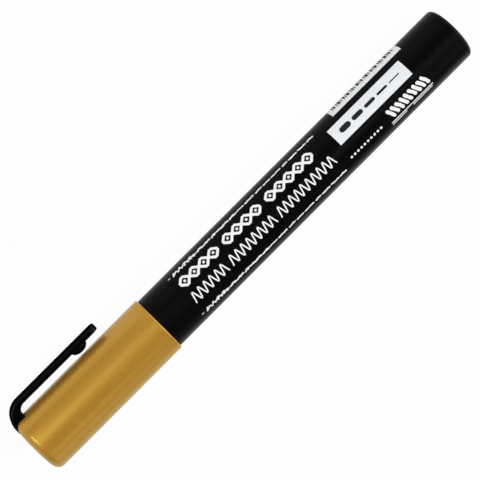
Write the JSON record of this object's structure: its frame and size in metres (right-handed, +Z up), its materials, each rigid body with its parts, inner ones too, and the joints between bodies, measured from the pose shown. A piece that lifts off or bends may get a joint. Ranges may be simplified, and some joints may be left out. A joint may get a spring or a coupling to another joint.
{
  "type": "liquid chalk marker",
  "caption": "Capped valve marker: round black barrel, gold cap with a black elbow clip, press-in bullet nib on a sprung valve, sealing inner cap and a loose mixing ball.",
  "frame": {"origin": "centre of the barrel's flat rear face, on the marker's axis, while the marker lies on a table", "axes": "+X along the marker's axis from the rear face to the cap's closed end, +Z up, the clip on the -Y side with one edge on the table"},
  "size_m": [0.145, 0.0191, 0.016],
  "materials": {
    "barrel_plastic": "satin black moulded plastic with white print",
    "nose_plastic": "satin black moulded plastic",
    "nib_fibre": "pressed polyester fibre",
    "valve_plastic": "natural white moulded plastic",
    "spring_steel": "drawn stainless wire",
    "ball_steel": "polished steel",
    "cap_gold": "satin gold pearl paint on moulded plastic",
    "liner_plastic": "natural polyethylene",
    "clip_plastic": "glossy black moulded plastic"
  },
  "bodies": {
    "barrel": {"barrel": "barrel_plastic", "nose_section": "nose_plastic", "valve_seat": "valve_plastic", "valve_cage": "valve_plastic", "valve_spring": "spring_steel"},
    "nib": {"nib": "nib_fibre"},
    "valve_stem": {"valve_stem": "valve_plastic"},
    "mixing_ball": {"mixing_ball": "ball_steel"},
    "cap": {"cap_shell": "cap_gold", "cap_liner": "liner_plastic"},
    "clip": {"clip": "clip_plastic"}
  },
  "joints": [
    {"name": "cap_pull", "type": "slide", "parent": "barrel", "child": "cap", "axis": [1, 0, 0], "range_m": [0, 0.045]},
    {"name": "clip_flex", "type": "hinge", "parent": "cap", "child": "clip", "pos_m": [0.14303, -0.00565, -0.00342], "axis": [0, -0.5179, 0.8554], "range_deg": [0, 4], "stiffness_Nm_per_rad": 0.8},
    {"name": "nib_press", "type": "slide", "parent": "barrel", "child": "nib", "axis": [-1, 0, 0], "range_m": [0, 0.002], "stiffness_N_per_m": 600, "deforming": ["valve_spring"]},
    {"name": "stem_slide", "type": "slide", "parent": "barrel", "child": "valve_stem", "axis": [-1, 0, 0], "range_m": [0, 0.002], "deforming": ["valve_spring"]},
    {"name": "ball_roll", "type": "slide", "parent": "barrel", "child": "mixing_ball", "axis": [1, 0, 0], "range_m": [0, 0.0865]}
  ],
  "couplings": [
    {"joint": "stem_slide", "follows": "nib_press", "ratio": 1}
  ]
}
